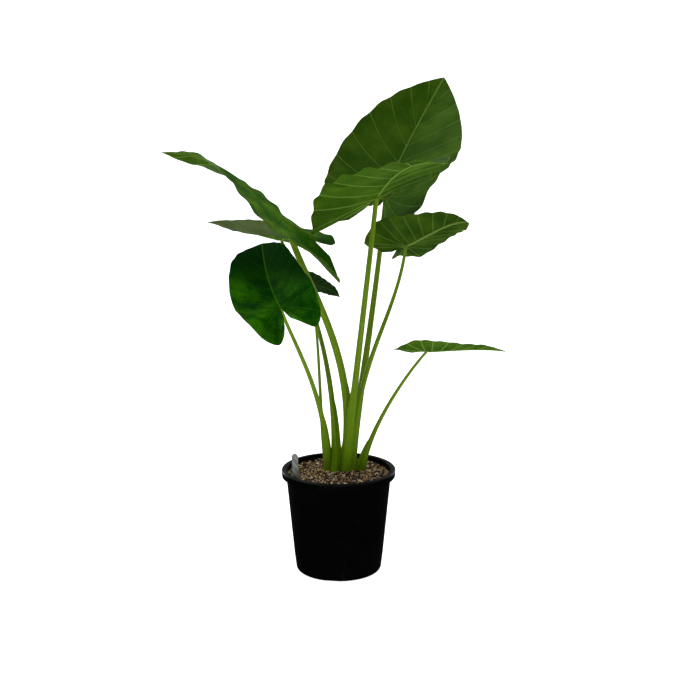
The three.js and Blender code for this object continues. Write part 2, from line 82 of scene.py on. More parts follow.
# Plant label
LABEL_WIDTH = 15 * MM
LABEL_LENGTH = 118 * MM
LABEL_POINT = 16 * MM
LABEL_THICKNESS = 1.4 * MM
LABEL_SHOWS = 62 * MM
LABEL_X = -95 * MM
LABEL_Y = -50 * MM
LABEL_LEAN = 3
LABEL_TURN = -18

# Flat leaf blade, in blade lengths from the stalk (0) to the tip (1)
RIB_STARTS = (0.76, 0.6, 0.44, 0.3, 0.18, 0.07, 0, 0, 0, 0)
RIB_ENDS = (0.15, 0.31, 0.47, 0.63, 0.78, 0.93, 1.1, 1.38, 1.7, 2.02)
RIB_SWEEP = 0.04
LOBE_RIB = 8  # the strong rib down each lobe
LOBE_RIB_WIDER = 1.5
TIP_START = 0.88
TIP_END = 0.07
SINUS_ENDS = (2.15, 2.35, 2.7, 3)
# steering points of its outline
NOSE_SHARP = (0.84, 0.21)
NOSE_BLUNTER = (0.12, 0.5)
LOBE_BACK = 0.24
LOBE_OUT = 0.4
LOBE_OUT_MOST = 0.95
LOBE_IN = 0.3
SINUS_DEPTH = 0.6
SINUS_HALF_WIDTH = 0.03
BLADE_THICKNESS = 1.1 * MM
PLEAT = 1 * MM
WAVE_FADE = 0.4  # the waves die out this far before the stalk
USUAL_LENGTH = 400  # a leaf this many millimetres long has ribs and pleats of full size
# relief of such a leaf, in millimetres: at the thin end, and what the thick end adds
RIB_HALF_WIDTH = (0.7, 1.5)
RIB_HEIGHT = (0.25, 1.5)
MIDRIB_HALF_WIDTH = (1.2, 3.6)
MIDRIB_HEIGHT = (0.6, 3.6)
UNEVENNESS = 1.2
RIB_SLANT = 0.8  # ribs run slantwise to the curves between them, so they lie nearer than these tell
MARGIN_THINNER = 0.35
MARGIN_START = 0.8
RIB_RISE = 0.03  # shares of the way over which ribs and midrib rise out of the blade
MIDRIB_RISE = 0.04
# places on the margin between which the pleats and the frill come in and die out
PLEAT_IN = (0.02, 0.2)
PLEAT_OUT = (2.02, 2.35)
FRILL_START = 0.1
FRILL_IN = 0.4
FRILL_END = 2.6
FRILL_OUT = 0.5

# The leaves: where the blade meets its stalk and its length in millimetres, and its turns in degrees.
# Pairs are left and right.
LEAVES = {
    "a": dict(at=(109, 220, 834), length=407, turn=74, rise=32, roll=-4,
              width=(0.37, 0.44), lobe=(0.36, 0.42), spread=(0.35, 0.48), shoulder=0.53, widest=0.1,
              bend=-20, tip_bend=-2, lobe_bend=(-80, -2), fold=(15, 15), curl=(21, 20), sway=-24,
              twist=25, wave=(6, 6), waves=3, phase=(-60, -33), wave_start=0.5, frill=3, tip_round=0.35),
    "b": dict(at=(82, -60, 862), length=347, turn=-71, rise=34, roll=20,
              width=(0.41, 0.43), lobe=(0.4, 0.36), spread=(0.53, 0.59), shoulder=0.46, widest=0.08,
              bend=36, tip_bend=0, lobe_bend=(-21, -27), fold=(4, 2), curl=(-3, 12), sway=-6,
              twist=-27, wave=(8, 8), waves=3, phase=(-85, 87), wave_start=0.5, frill=4, tip_round=0),
    "c": dict(at=(150, 25, 745), length=205, turn=-45, rise=24, roll=-25,
              width=(0.41, 0.43), lobe=(0.4, 0.39), spread=(0.52, 0.47), shoulder=0.54, widest=0.1,
              bend=-7, tip_bend=34, lobe_bend=(1, 3), fold=(14, 16), curl=(1, 2), sway=-3,
              twist=-3, wave=(7, 7), waves=3, phase=(148, 38), wave_start=0.5, frill=1.5, tip_round=0.22),
    "d": dict(at=(-113, -60, 816), length=311, turn=179, rise=45, roll=10,
              width=(0.42, 0.43), lobe=(0.52, 0.42), spread=(0.5, 0.44), shoulder=0.46, widest=0.1,
              bend=15, tip_bend=37, lobe_bend=(-15, -42), fold=(-26, -17), curl=(26, 49), sway=-10,
              twist=9, wave=(14, 7), waves=2.7, phase=(-48, 240), wave_start=0.25, frill=2, tip_round=0),
    "e": dict(at=(-133, 155, 741), length=174, turn=189, rise=15, roll=-9,
              width=(0.42, 0.43), lobe=(0.43, 0.42), spread=(0.49, 0.49), shoulder=0.53, widest=0.11,
              bend=-1, tip_bend=3, lobe_bend=(3, 25), fold=(15, 10), curl=(6, -2), sway=-1,
              twist=-9, wave=(3, 3), waves=3, phase=(90, 89), wave_start=0.5, frill=0.6, tip_round=0),
    "f": dict(at=(-120, -180, 644), length=240, turn=108, rise=15, roll=-21,
              width=(0.41, 0.37), lobe=(0.44, 0.43), spread=(0.5, 0.52), shoulder=0.56, widest=0.09,
              bend=-25, tip_bend=13, lobe_bend=(25, 33), fold=(18, 24), curl=(11, 14), sway=-16,
              twist=6, wave=(11, 11), waves=3, phase=(-81, -47), wave_start=0.5, frill=1.5, tip_round=0.63),
    "g": dict(at=(195, -40, 520), length=178, turn=-15, rise=6, roll=-8,
              width=(0.38, 0.37), lobe=(0.39, 0.38), spread=(0.53, 0.46), shoulder=0.53, widest=0.09,
              bend=0, tip_bend=11, lobe_bend=(-2, -1), fold=(11, 15), curl=(-8, 14), sway=-5,
              twist=-6, wave=(4, 4), waves=3, phase=(-67, 21), wave_start=0.5, frill=0.8, tip_round=0),
    "h": dict(at=(-71, 50, 656), length=84, turn=-7, rise=-4, roll=23,
              width=(0.42, 0.42), lobe=(0.44, 0.43), spread=(0.52, 0.48), shoulder=0.5, widest=0.1,
              bend=31, tip_bend=22, lobe_bend=(16, 27), fold=(10, 10), curl=(8, -20), sway=-1,
              twist=-1, wave=(4, 4), waves=3, phase=(19, 151), wave_start=0.5, frill=0.6, tip_round=0),
}

# Their stalks, in millimetres: foot, the two steering points, widths at foot and top, wing
STALKS = {
    "a": dict(foot=(20, 34), rise=(57, 56, 443), reach=(94, 146, 677),
              thick=19, thin=10, wing=5, flare=0.9),
    "b": dict(foot=(13, 9), rise=(37, 1, 445), reach=(65, -32, 680),
              thick=18, thin=10, wing=6, flare=0.8),
    "c": dict(foot=(31, 16), rise=(26, 17, 480), reach=(128, 21, 567),
              thick=16, thin=7, wing=5, flare=0.3),
    "d": dict(foot=(8, 33), rise=(61, 22, 494), reach=(-73, -23, 651),
              thick=19, thin=13, wing=6, flare=0.5),
    "e": dict(foot=(-9, 5), rise=(1, 23, 413), reach=(-44, 95, 600),
              thick=17, thin=6, wing=8, flare=0.6),
    "f": dict(foot=(-26, 20), rise=(-17, -4, 399), reach=(-93, -100, 538),
              thick=14, thin=7, wing=6, flare=0.5),
    "g": dict(foot=(50, 20), rise=(53, 13, 302), reach=(143, -16, 453),
              thick=11, thin=6, wing=9, flare=0.9),
    "h": dict(foot=(-22, 40), rise=(-50, 41, 298), reach=(-35, 46, 587),
              thick=10, thin=5, wing=3, flare=0.25),
}
FLARE_HEIGHT = 70 * MM
WING_REACH = 0.3
STALK_SINKS = 5 * MM  # its foot stands this deep in the corm
TANGENT_STEP = 0.004
STALK_BELOW = 1.4 * MM  # its top lies this far under the blade's upper face

MERGE_GAP = 0.002 * MM  # corners closer than this are one corner


# Shader helpers

class Value:
    """A node socket that takes part in sums as a plain number does."""

    def __init__(self, paint, socket):
        self.paint = paint
        self.socket = socket

    def output(self, name):
        """Another output of the same node."""
        return Value(self.paint, self.socket.node.outputs[name])

    def _sum(self, operation, *others):
        return self.paint.maths(operation, self, *others)

    def __add__(self, other):
        return self._sum("ADD", other)

    __radd__ = __add__

    def __mul__(self, other):
        return self._sum("MULTIPLY", other)

    __rmul__ = __mul__

    def __sub__(self, other):
        return self._sum("SUBTRACT", other)

    def __rsub__(self, other):
        return self.paint.maths("SUBTRACT", other, self)


class Paint:
    """One material and the nodes it is made of."""

    def __init__(self, name, **constants):
        self.material = bpy.data.materials.new(name)
        self.material.use_nodes = True
        self.nodes = self.material.node_tree.nodes
        self.links = self.material.node_tree.links
        self.shader = self.nodes["Principled BSDF"]
        for socket, value in constants.items():
            self.shader.inputs[socket.replace("_", " ")].default_value = value

    def node(self, kind, settings=None, **inputs):
        """Adds a node, sets it up, feeds its inputs, and returns its first output."""
        made = self.nodes.new(kind)
        for name, value in (settings or {}).items():
            if name == "ramp":
                self._ramp(made.color_ramp, value)
            else:
                setattr(made, name, value)
        for name, value in inputs.items():
            key = int(name[1:]) if name[0] == "i" and name[1:].isdigit() else name.replace("_", " ")
            self.feed(made.inputs[key], value)
        return Value(self, next(out for out in made.outputs if out.enabled))

    def feed(self, socket, value):
        if isinstance(value, Value):
            self.links.new(value.socket, socket)
        else:
            socket.default_value = value

    def _ramp(self, ramp, stops):
        while len(ramp.elements) > len(stops):
            ramp.elements.remove(ramp.elements[-1])
        while len(ramp.elements) < len(stops):
            ramp.elements.new(1)
        for element, (place, tone) in zip(ramp.elements, stops):
            element.position = place
            element.color = (*tone, 1)

    def maths(self, operation, *values):
        settings = {"operation": operation}
        return self.node("ShaderNodeMath", settings, **{f"i{k}": v for k, v in enumerate(values)})

    def ramp(self, value, *stops):
        return self.node("ShaderNodeValToRGB", {"ramp": stops}, Fac=value)

    def between(self, value, low, high):
        """0 below low, 1 above high, and a smooth step from one to the other."""
        settings = {"interpolation_type": "SMOOTHSTEP"}
        return self.node("ShaderNodeMapRange", settings, Value=value, From_Min=low, From_Max=high)

    def mix(self, share, first, second):
        made = self.nodes.new("ShaderNodeMix")
        made.data_type = "RGBA"
        self.feed(made.inputs[0], share)
        for slot, tone in ((6, first), (7, second)):
            self.feed(made.inputs[slot], tone if isinstance(tone, Value) else (*tone, 1))
        return Value(self, made.outputs[2])

    def place(self, stretch=(1, 1, 1)):
        """Object coordinates, stretched."""
        coordinates = Value(self, self.nodes.new("ShaderNodeTexCoord").outputs["Object"])
        return self.node("ShaderNodeMapping", Vector=coordinates, Scale=stretch)

    def noise(self, scale, detail=3, rough=0.5, stretch=(1, 1, 1), vector=None):
        where = vector if vector is not None else self.place(stretch)
        return self.node("ShaderNodeTexNoise", Vector=where, Scale=scale, Detail=detail, Roughness=rough)

    def cells(self, scale):
        return self.node("ShaderNodeTexVoronoi", Vector=self.place(), Scale=scale)

    def attribute(self, name):
        made = self.nodes.new("ShaderNodeAttribute")
        made.attribute_name = name
        return Value(self, made.outputs["Fac"])

    def bump(self, height, depth, strength):
        return self.node("ShaderNodeBump", Height=height, Distance=depth, Strength=strength)

    def surface(self, **inputs):
        for name, value in inputs.items():
            self.feed(self.shader.inputs[name.replace("_", " ")], value)
        return self.material


# Modelling helpers

def deselect():
    bpy.ops.object.select_all(action="DESELECT")


def select_only(piece):
    deselect()
    bpy.context.view_layer.objects.active = piece
    piece.select_set(True)


def named(name):
    piece = bpy.context.object
    piece.name = name
    piece.data.name = name
    return piece


def shaped_grid(name, columns, rows, corner):
    """A grid of quads with every corner put where corner(column, row) says."""
    deselect()
    bpy.ops.mesh.primitive_grid_add(x_subdivisions=columns, y_subdivisions=rows, size=2)
    piece = named(name)
    spots = []
    for vertex in piece.data.vertices:
        spot = (round((vertex.co.x + 1) / 2 * columns), round((vertex.co.y + 1) / 2 * rows))
        spots.append(spot)
        vertex.co = corner(*spot)
    return piece, spots


def store(piece, name, values):
    attribute = piece.data.attributes.new(name, "FLOAT", "POINT")
    attribute.data.foreach_set("value", values)


def edit(piece, *steps):
    """Runs edit-mode operators on the whole mesh."""
    select_only(piece)
    bpy.ops.object.mode_set(mode="EDIT")
    bpy.ops.mesh.select_mode(type="VERT")
    bpy.ops.mesh.select_all(action="SELECT")
    for step in steps:
        step()
    bpy.ops.object.mode_set(mode="OBJECT")


def merge_doubles():
    bpy.ops.mesh.remove_doubles(threshold=MERGE_GAP)


def outward():
    bpy.ops.mesh.normals_make_consistent(inside=False)


def close_holes():
    bpy.ops.mesh.select_all(action="DESELECT")
    bpy.ops.mesh.select_non_manifold(
        extend=False, use_wire=False, use_multi_face=False, use_non_contiguous=False,
    )
    bpy.ops.mesh.fill()


def apply_modifiers(piece):
    select_only(piece)
    for modifier in list(piece.modifiers):
        bpy.ops.object.modifier_apply(modifier=modifier.name)


def smooth(piece, angle):
    select_only(piece)
    bpy.ops.object.shade_smooth_by_angle(angle=math.radians(angle))


def settle(piece, node):
    """Puts a finished piece in the place of the node that it stands for."""
    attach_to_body(piece, "root")
    if node:
        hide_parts(node)


# Leaf blades

def bezier(p0, p1, p2, p3, t):
    s = 1 - t
    return [
        s**3 * a + 3 * s * s * t * b + 3 * s * t * t * c + t**3 * d
        for a, b, c, d in zip(p0, p1, p2, p3)
    ]


def margin_point(leaf, side, q):
    """Half the flat outline: 0 at the tip, 1 at the widest place, 2 at the lobe's end, 3 at the stalk."""
    width, lobe, spread = leaf["width"][side], leaf["lobe"][side], leaf["spread"][side]
    widest, tip_round = leaf["widest"], leaf["tip_round"]
    wide = (widest, width)
    end = (-lobe, spread * width)
    if q <= 1:
        sharp, blunt = NOSE_SHARP, NOSE_BLUNTER
        nose = (sharp[0] + blunt[0] * tip_round, (sharp[1] + blunt[1] * tip_round) * width)
        return bezier((1, 0), nose, (leaf["shoulder"], width), wide, q)
    if q <= 2:
        outside = (-lobe, min(LOBE_OUT_MOST, spread + LOBE_OUT) * width)
        return bezier(wide, (widest - LOBE_BACK, width), outside, end, q - 1)
    inside = (-lobe, (spread - LOBE_IN) * width)
    return bezier(end, inside, (-SINUS_DEPTH * lobe, SINUS_HALF_WIDTH), (0, 0), q - 2)


# a column's rank is -1 at the tip, 0 to 9 on the ribs and 10.5 where the two lobes part
LAST_RIB = len(RIB_ENDS) - 1
RANKS = (-1, -0.5, *range(len(RIB_ENDS)), 9.5, 9.75, 10, 10.5)
RANK_STARTS = (1, TIP_START, *RIB_STARTS, 0, 0, 0, 0)
RANK_ENDS = (0, TIP_END, *RIB_ENDS, *SINUS_ENDS)


def between_ranks(table, rank):
    k = max(k for k in range(len(RANKS) - 1) if RANKS[k] <= rank or k == 0)
    share = (rank - RANKS[k]) / (RANKS[k + 1] - RANKS[k])
    return table[k] + (table[k + 1] - table[k]) * share


def clamped(value):
    return min(max(value, 0), 1)


def step_between(low, high, value):
    share = clamped((value - low) / (high - low))
    return share * share * (3 - 2 * share)


def tapered(sizes, share):
    return sizes[0] + sizes[1] * share


def heading(droop, sway):
    return Vector((math.cos(droop) * math.cos(sway), math.cos(droop) * math.sin(sway), -math.sin(droop)))


def spine_table(leaf, side, steps=160, start=-0.6):
    """The midrib's bend from the lobes' ends to the tip: place and heading, step by step."""
    table = []
    for k in range(steps + 1):
        x = start + (1 - start) * k / steps
        if x >= 0:
            droop = leaf["bend"] * x + leaf["tip_bend"] * x**3
        else:
            droop = leaf["lobe_bend"][side] * x / leaf["lobe"][side]
        droop, sway = math.radians(droop), math.radians(leaf["sway"] * x)
        along = heading(droop, sway)
        place = Vector((0, 0, 0))
        if table:
            last_x, _, _, last_place, last_along = table[-1]
            place = last_place + (last_along + along) * 0.5 * (x - last_x)
        table.append((x, droop, sway, place, along))
    zero = table[round(-start / (1 - start) * steps)][3].copy()
    return [(x, droop, sway, place - zero, along) for x, droop, sway, place, along in table]


def rolled(across, up, turn):
    """Two axes turned about the third."""
    return (
        across * math.cos(turn) + up * math.sin(turn),
        up * math.cos(turn) - across * math.sin(turn),
    )


def blade_point(leaf, side, table, x, y, q, row, lift):
    """A flat point (x along, y across, in blade lengths) placed on the bent, folded blade."""
    spot = min(max((x - table[0][0]) / (table[1][0] - table[0][0]), 0), len(table) - 1.001)
    low, high, share = table[int(spot)], table[int(spot) + 1], spot % 1
    droop = low[1] + (high[1] - low[1]) * share
    sway = low[2] + (high[2] - low[2]) * share
    place = low[3].lerp(high[3], share)
    across = Vector((-math.sin(sway), math.cos(sway), 0))
    across, up = rolled(across, heading(droop, sway).cross(across), math.radians(leaf["twist"] * x))

    slope = math.radians(leaf["fold"][side] + 0.5 * leaf["curl"][side] * y / leaf["width"][side])
    fade = min(1, q / leaf["wave_start"], (3 - q) / WAVE_FADE)
    ripple = math.sin(2 * math.pi * leaf["waves"] * q / 3 + math.radians(leaf["phase"][side]))
    wave = leaf["wave"][side] / leaf["length"]
    height = y * math.sin(slope) + wave * row * row * ripple * fade + lift
    sign = 1 if side == 0 else -1
    return place + across * (sign * y * math.cos(slope)) + up * height


def blade_axes(leaf):
    """The blade's own axes in the plant: along the midrib, to the left, and up out of the face."""
    turn, rise, roll = (math.radians(leaf[key]) for key in ("turn", "rise", "roll"))
    along = Vector((math.cos(rise) * math.cos(turn), math.cos(rise) * math.sin(turn), math.sin(rise)))
    left = Vector((-math.sin(turn), math.cos(turn), 0))
    return along, *rolled(left, along.cross(left), roll)


def flat_point(leaf, side, rank, row):
    """A point of the flat blade on the curve of one rank, and that curve's margin place and reach."""
    start, end = between_ranks(RANK_STARTS, rank), between_ranks(RANK_ENDS, rank)
    edge = margin_point(leaf, side, end)
    reach = math.hypot(edge[0] - start, edge[1])
    lag = RIB_SWEEP * reach * (1 - step_between(1.9, 2.1, end))
    middle = ((start + edge[0]) / 2 - lag, edge[1] / 2)
    free = 1 - row
    x = free * free * start + 2 * row * free * middle[0] + row * row * edge[0]
    y = 2 * row * free * middle[1] + row * row * edge[1]
    return Vector((x, y)), end, reach, start


# shares of the way from one rib to the next, closer together beside the ribs
RIB_STEPS = (
    0, 0.012, 0.026, 0.046, 0.08, 0.14, 0.23, 0.36, 0.5, 0.64, 0.77, 0.86, 0.92, 0.954, 0.974, 0.988,
)
# ranks from the tip to the first rib, and from the last rib to where the lobes part
TIP_STEPS = (
    -1, -0.985, -0.95, -0.9, -0.82, -0.72, -0.6, -0.48, -0.36, -0.24, -0.14, -0.07, -0.035, -0.015,
)
SINUS_STEPS = (9, 9.02, 9.05, 9.1, 9.2, 9.35, 9.5, 9.66, 9.83, 10, 10.12, 10.25, 10.38, 10.5)
# rows from the midrib to the margin
BLADE_ROWS = (
    0, 0.006, 0.014, 0.024, 0.037, 0.055, 0.08, 0.11, 0.15, 0.19, 0.235, 0.28, 0.33, 0.38, 0.43, 0.48,
    0.53, 0.58, 0.63, 0.68, 0.73, 0.78, 0.825, 0.87, 0.905, 0.935, 0.96, 0.98, 0.992, 1,
)


def blade_ranks():
    ranks = list(TIP_STEPS)
    for k in range(len(RIB_ENDS) - 1):
        ranks.extend(k + step for step in RIB_STEPS)
    return ranks + list(SINUS_STEPS)


def build_blade(key, leaf):
    """An open blade, sunken along its ribs, and the thickness that each point gets beneath."""
    ranks = blade_ranks()
    last = len(ranks) - 1
    tables = [spine_table(leaf, side) for side in (0, 1)]
    along, left, up = blade_axes(leaf)
    length = leaf["length"]
    size = (length / USUAL_LENGTH) ** 0.6
    notes = {}

    def corner(column, j):
        side = 0 if column <= last else 1
        rank = ranks[last - column] if side == 0 else ranks[column - last]
        row = BLADE_ROWS[j]
        spot, end, reach, start = flat_point(leaf, side, rank, row)
        near = min(max(round(rank), 0), LAST_RIB)
        rib_spot = flat_point(leaf, side, near, row)[0]
        rib_gap = RIB_SLANT * (spot - rib_spot).length * length
        midrib_gap = spot.y * length
        edge_gap = (1 - row) * reach * length

        swell = math.sin(math.pi * row) * min(1, 4 * reach) * step_between(*PLEAT_IN, end)
        swell *= 1 - step_between(*PLEAT_OUT, end)
        arch = 2 * abs(math.sin(math.pi * rank)) ** 0.7 - 1 if rank > -0.5 else 1
        frill = -math.cos(2 * math.pi * min(rank, LAST_RIB + 0.5)) * row**3 * leaf["frill"]
        frill *= clamped((end - FRILL_START) / FRILL_IN) * clamped((FRILL_END - end) / FRILL_OUT)
        roam = noise.noise(Vector((7 * spot.x, 7 * spot.y, 3.1 * side + length)))
        lift = (PLEAT / MM * swell * arch * size + frill + UNEVENNESS * size * roam * row) / length
        local = blade_point(leaf, side, tables[side], spot.x, spot.y, end, row, lift)

        thin = BLADE_THICKNESS / MM * (1 - MARGIN_THINNER * step_between(MARGIN_START, 1, row))
        wider = LOBE_RIB_WIDER if near == LOBE_RIB else 1
        rib_half = size * tapered(RIB_HALF_WIDTH, 1 - row) * wider
        rib = max(0, 1 - (rib_gap / rib_half) ** 2) ** 0.5 * size * tapered(RIB_HEIGHT, 1 - row)
        rib *= min(1, row / RIB_RISE) if start > 0 else 1
        spine_half = size * tapered(MIDRIB_HALF_WIDTH, 1 - spot.x) if spot.x > 0 else 0
        spine = 0
        if spine_half > 0 and spot.x < 1:
            ridge = max(0, 1 - (midrib_gap / spine_half) ** 2) ** 0.5
            spine = ridge * size * tapered(MIDRIB_HEIGHT, 1 - spot.x)
            spine *= min(1, spot.x / MIDRIB_RISE)
        notes[column, j] = (thin + max(rib, spine), rib_gap, midrib_gap, edge_gap, rank, row)
        place = Vector(leaf["at"]) + length * (along * local.x + left * local.y + up * local.z)
        return place * MM

    piece, spots = shaped_grid(f"leaf_{key}_blade", 2 * last, len(BLADE_ROWS) - 1, corner)
    depths = [notes[spot][0] for spot in spots]
    deepest = max(depths)
    for k, name in enumerate(("rib_gap", "midrib_gap", "edge_gap", "rank", "row")):
        store(piece, name, [notes[spot][k + 1] for spot in spots])
    group = piece.vertex_groups.new(name="thickness")
    for index, depth in enumerate(depths):
        group.add([index], depth / deepest, "REPLACE")
    edit(piece, merge_doubles)
    if piece.data.polygons[0].normal.dot(up) < 0:
        edit(piece, bpy.ops.mesh.flip_normals)
    return piece, group, deepest


def finish_blade(key, piece, group, deepest, upper, under):
    """Gives the blade its thickness, which closes it."""
    piece.data.materials.append(upper)
    piece.data.materials.append(under)
    shell = piece.modifiers.new("thickness", "SOLIDIFY")
    shell.thickness = deepest * MM
    shell.offset = -1
    shell.vertex_group = group.name
    shell.material_offset = 1
    shell.material_offset_rim = 1
    apply_modifiers(piece)
    smooth(piece, 60)
    settle(piece, f"leaf_{key}")


# Stalks

def curve_point(p0, p1, p2, p3, t):
    return Vector(bezier(p0, p1, p2, p3, t))


def stalk_outline(radius, wing, arc_steps=18):
    """Round outside, a groove between two sheath wings on the side that faces the plant's middle."""

    def on_circle(size, angle):
        turn = math.radians(angle)
        return size * math.cos(turn), size * math.sin(turn)

    outline = []
    for k in range(arc_steps + 1):
        outline.append(on_circle(radius, -120 + 240 * k / arc_steps))
    root = on_circle(radius, 128)
    tip = tuple(a + b for a, b in zip(on_circle(radius, 140), on_circle(wing, 155)))
    inner = (tip[0] - 0.1 * radius, 0.86 * tip[1])
    groove = radius * (-0.5 if wing > 0 else -0.8)
    half = [root, ((root[0] + tip[0]) / 2, (root[1] + tip[1]) / 2 + 0.06 * wing), tip, inner]
    for share in (0.75, 0.5, 0.25):
        half.append((groove + (inner[0] - groove) * share**2, inner[1] * share))
    outline.extend(half)
    outline.append((groove, 0))
    outline.extend((a, -b) for a, b in reversed(half))
    return outline


def build_stalk(key, stalk, leaf, material, steps=72):
    up = blade_axes(leaf)[2]
    attach = Vector(leaf["at"]) - up * (STALK_BELOW / MM)
    foot = Vector((*stalk["foot"], CORM_TOP / MM - STALK_SINKS / MM))
    points = [foot, Vector(stalk["rise"]), Vector(stalk["reach"]), attach]
    lean = Vector((attach.x - points[0].x, attach.y - points[0].y, 0)).normalized()
    sides = len(stalk_outline(1, 1))
    rings = []
    for k in range(steps + 1):
        t = k / steps
        centre = curve_point(*points, t)
        before, after = max(t - TANGENT_STEP, 0), min(t + TANGENT_STEP, 1)
        along = (curve_point(*points, after) - curve_point(*points, before)).normalized()
        u = (lean - along * lean.dot(along)).normalized()
        v = along.cross(u)
        swell = stalk["flare"] * math.exp((SOIL_LEVEL / MM - centre.z) / (FLARE_HEIGHT / MM))
        radius = 0.5 * (1 + swell) * (stalk["thick"] + (stalk["thin"] - stalk["thick"]) * t**0.7)
        wing = stalk["wing"] * math.sqrt(max(0, 1 - t / WING_REACH))
        wing *= 1 + 0.12 * noise.noise(Vector((9 * t, ord(key), 0)))
        rings.append([(centre + u * a + v * b) * MM for a, b in stalk_outline(radius, wing)])

    piece, spots = shaped_grid(f"stalk_{key}_stem", sides, steps, lambda i, j: rings[j][i % sides])
    store(piece, "round_share", [i / sides for i, j in spots])
    store(piece, "height_share", [j / steps for i, j in spots])
    edit(piece, merge_doubles, close_holes)
    edit(piece, outward)
    piece.data.materials.append(material)
    smooth(piece, 50)
    settle(piece, f"stalk_{key}")


# Pot

def round_spot(radius, turn, z=0):
    """A place on a circle round the pot's axis."""
    return radius * math.cos(turn), radius * math.sin(turn), z


def outer_wall(z):
    return FOOT_RADIUS + (NECK_RADIUS - FOOT_RADIUS) * z / POT_HEIGHT


def pot_profile():
    """Radius and height from the foot's flat, up the wall, over the lip and down to the floor inside."""
    profile = []
    for k in range(7):
        turn = math.radians(15 * k)
        drop, gain = 1 - math.sin(turn), 1 - math.cos(turn)
        profile.append((outer_wall(0) - FOOT_ROUND * drop, FOOT_ROUND * gain))
    skirt = POT_HEIGHT - LIP_DROP
    for share in (0.15, 0.3, 0.5, 0.7, 0.85):
        z = FOOT_ROUND + (skirt - FOOT_ROUND) * share
        profile.append((outer_wall(z), z))
    profile += [
        (outer_wall(skirt), skirt),
        (outer_wall(POT_HEIGHT - POT_WALL) - 0.2 * MM, POT_HEIGHT - POT_WALL - 1.2 * MM),
        (outer_wall(POT_HEIGHT) + 1 * MM, POT_HEIGHT - POT_WALL),
        (LIP_RADIUS - 2 * POT_WALL - 0.6 * MM, POT_HEIGHT - POT_WALL - 0.4 * MM),
        (LIP_RADIUS - POT_WALL - 0.6 * MM, POT_HEIGHT - POT_WALL - 2.4 * MM),
        (LIP_RADIUS - POT_WALL - 1 * MM, skirt + 0.4 * MM),
        (LIP_RADIUS - POT_WALL - 0.5 * MM, skirt),
        (LIP_RADIUS - 1.4 * MM, skirt),
        (LIP_RADIUS - 0.9 * MM, skirt + 0.5 * MM),
    ]
    for k in range(7):
        turn = math.radians(15 * k)
        back, drop = 1 - math.cos(turn), 1 - math.sin(turn)
        profile.append((LIP_RADIUS - LIP_ROUND * back, POT_HEIGHT - LIP_ROUND * drop))
    inside = outer_wall(POT_HEIGHT) - POT_WALL
    for k in range(1, 6):
        turn = math.radians(18 * k)
        out, drop = 1 - math.sin(turn), 1 - math.cos(turn)
        profile.append((inside + MOUTH_ROUND * out, POT_HEIGHT - MOUTH_ROUND * drop))
    for z in (190 * MM, 120 * MM, 60 * MM):
        profile.append((outer_wall(z) - POT_WALL, z))
    profile += [
        (outer_wall(FOOT_ROUND) - POT_WALL, FOOT_ROUND),
        (outer_wall(0) - FOOT_ROUND + 2 * MM, POT_FLOOR + 2 * MM),
        (outer_wall(0) - FOOT_ROUND, POT_FLOOR),
    ]
    return profile


def cut_away(piece, cutter):
    cut = piece.modifiers.new("cut", "BOOLEAN")
    cut.object = cutter
    cut.solver = "EXACT"
    apply_modifiers(piece)
    bpy.data.objects.remove(cutter)


def build_pot(material, segments=120):
    profile = pot_profile()
    deselect()
    bpy.ops.mesh.primitive_circle_add(vertices=segments, radius=profile[0][0], fill_type="NGON")
    piece = named("pot_shell")
    bpy.ops.object.mode_set(mode="EDIT")
    bpy.ops.mesh.select_all(action="SELECT")
    bpy.ops.mesh.select_mode(type="EDGE")
    bpy.ops.mesh.region_to_loop()
    for (last_radius, last_z), (radius, z) in zip(profile, profile[1:]):
        bpy.ops.mesh.extrude_edges_move(TRANSFORM_OT_translate={"value": (0, 0, z - last_z)})
        grow = radius / last_radius
        bpy.ops.transform.resize(value=(grow, grow, 1), center_override=(0, 0, z))
    bpy.ops.mesh.edge_face_add()
    bpy.ops.object.mode_set(mode="OBJECT")
    edit(piece, outward)
    for k in range(DRAIN_HOLES):
        turn = (k + 0.5) * 2 * math.pi / DRAIN_HOLES
        spot = round_spot(DRAIN_CIRCLE_RADIUS, turn)
        deselect()
        bpy.ops.mesh.primitive_cylinder_add(
            vertices=32, radius=DRAIN_HOLE_RADIUS, depth=4 * POT_FLOOR, location=spot,
        )
        cut_away(piece, bpy.context.object)
    for k in range(NOTCHES):
        turn = math.radians(NOTCH_TURN + 360 * k / NOTCHES)
        spot = round_spot(outer_wall(0), turn)
        scale = (2 * FOOT_ROUND, NOTCH_WIDTH, 2 * NOTCH_HEIGHT)
        deselect()
        bpy.ops.mesh.primitive_cube_add(size=1, location=spot, rotation=(0, 0, turn), scale=scale)
        cut_away(piece, bpy.context.object)
    piece.data.materials.clear()
    piece.data.materials.append(material)
    smooth(piece, 35)
    settle(piece, "pot")


# Soil

def soil_height(x, y):
    """Height of the soil, in metres, over a place in metres."""
    x, y = x / MM, y / MM
    lumps = math.sin(0.11 * x + 1.3) * math.cos(0.13 * y - 0.4) + 0.6 * math.sin(0.23 * x - 0.19 * y)
    crown = math.exp(-0.5 * (math.hypot(x * MM - CROWN_X, y * MM - CROWN_Y) / CROWN_SPREAD) ** 2)
    return SOIL_LEVEL + SOIL_CROWN * crown + SOIL_BUMP * lumps


